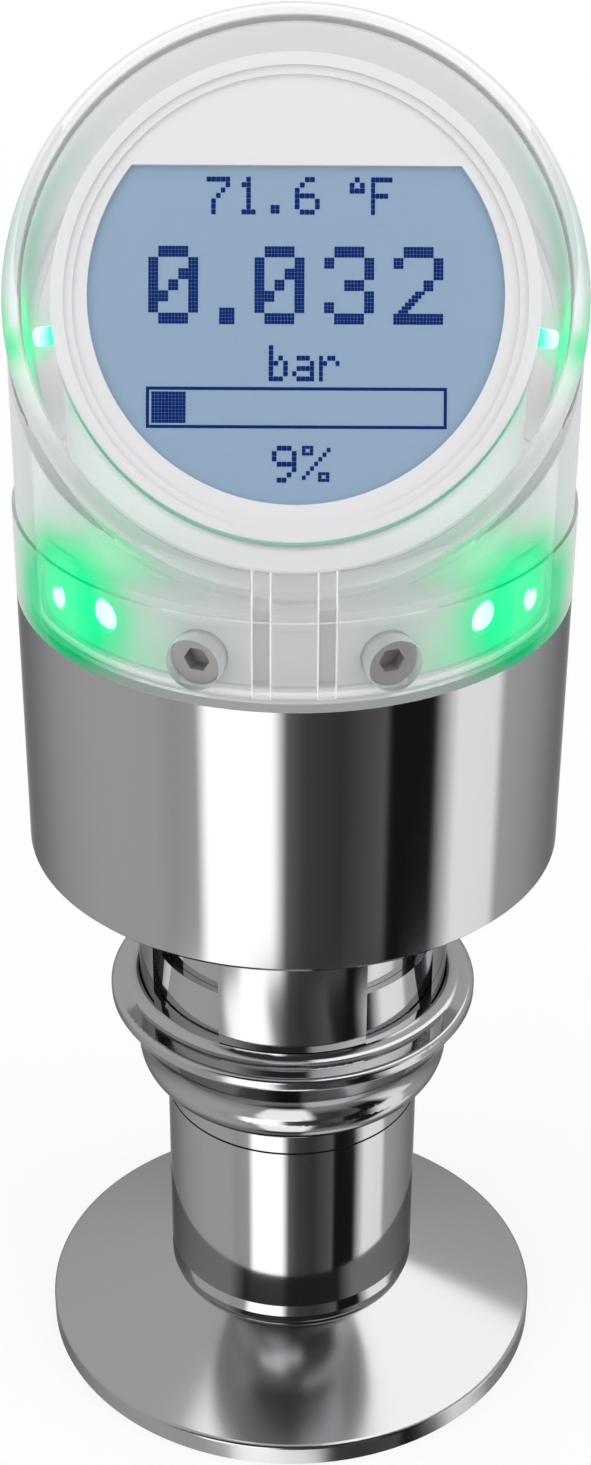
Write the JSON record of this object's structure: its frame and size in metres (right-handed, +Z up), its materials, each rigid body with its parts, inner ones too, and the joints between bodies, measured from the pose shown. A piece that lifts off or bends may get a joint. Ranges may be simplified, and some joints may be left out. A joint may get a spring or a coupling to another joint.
{
  "type": "hydrostatic level sensor",
  "caption": "Stainless hydrostatic level sensor with a hygienic clamp flange, slim stem and a turnable round housing under a clear head with a tilted display.",
  "frame": {"origin": "centre of the clamp flange on its sealing face", "axes": "+Z up along the stem towards the display head, -Y towards the viewer of the display, +X to the viewer's right"},
  "size_m": [0.064, 0.0782, 0.1728],
  "materials": {
    "polished_stainless": "mirror polished",
    "satin_stainless": "fine satin",
    "screw_steel": "plain",
    "nickel_brass": "nickel plated",
    "brass": "plain",
    "gold_plate": "gold plated",
    "black_seal": "matte",
    "clear_seal": "translucent",
    "black_plastic": "matte",
    "circuit_board": "satin",
    "filter_membrane": "porous",
    "clear_polycarbonate": "clear, polished",
    "white_plastic": "fine matte",
    "green_light": "translucent, lit",
    "lcd_glass": "polished"
  },
  "bodies": {
    "process_fitting": {"clamp_ferrule": "satin_stainless", "sensing_diaphragm": "satin_stainless", "pressure_cell": "satin_stainless", "cell_ring": "brass", "cell_pins": "gold_plate", "cell_board": "circuit_board", "process_stem": "polished_stainless", "swivel_gasket": "black_seal", "swivel_seal": "black_seal", "swivel_clip": "satin_stainless"},
    "head": {"swivel_cup": "polished_stainless", "lock_collar": "polished_stainless", "collar_seal": "black_seal", "housing_neck": "polished_stainless", "housing_can": "polished_stainless", "vent_filter": "filter_membrane", "connector_shell": "nickel_brass", "connector_insert": "black_plastic", "connector_pins": "gold_plate", "connector_gasket": "black_seal", "connector_nut": "nickel_brass", "main_board": "circuit_board", "board_posts": "brass", "board_screws": "screw_steel", "board_header": "black_plastic", "clear_cap": "clear_polycarbonate", "cap_seal": "clear_seal", "display_carrier": "white_plastic", "screw_inserts": "brass", "cap_screws": "screw_steel", "led_board": "circuit_board", "status_leds": "green_light", "side_leds": "green_light", "display_bezel": "white_plastic", "lcd_panel": "lcd_glass", "lcd_backlight": "white_plastic", "display_board": "circuit_board", "display_screws": "screw_steel"}
  },
  "joints": [
    {"name": "head_swivel", "type": "hinge", "parent": "process_fitting", "child": "head", "pos_m": [0, 0, 0.0372], "axis": [0, 0, 1], "range_deg": [-175, 175]}
  ]
}
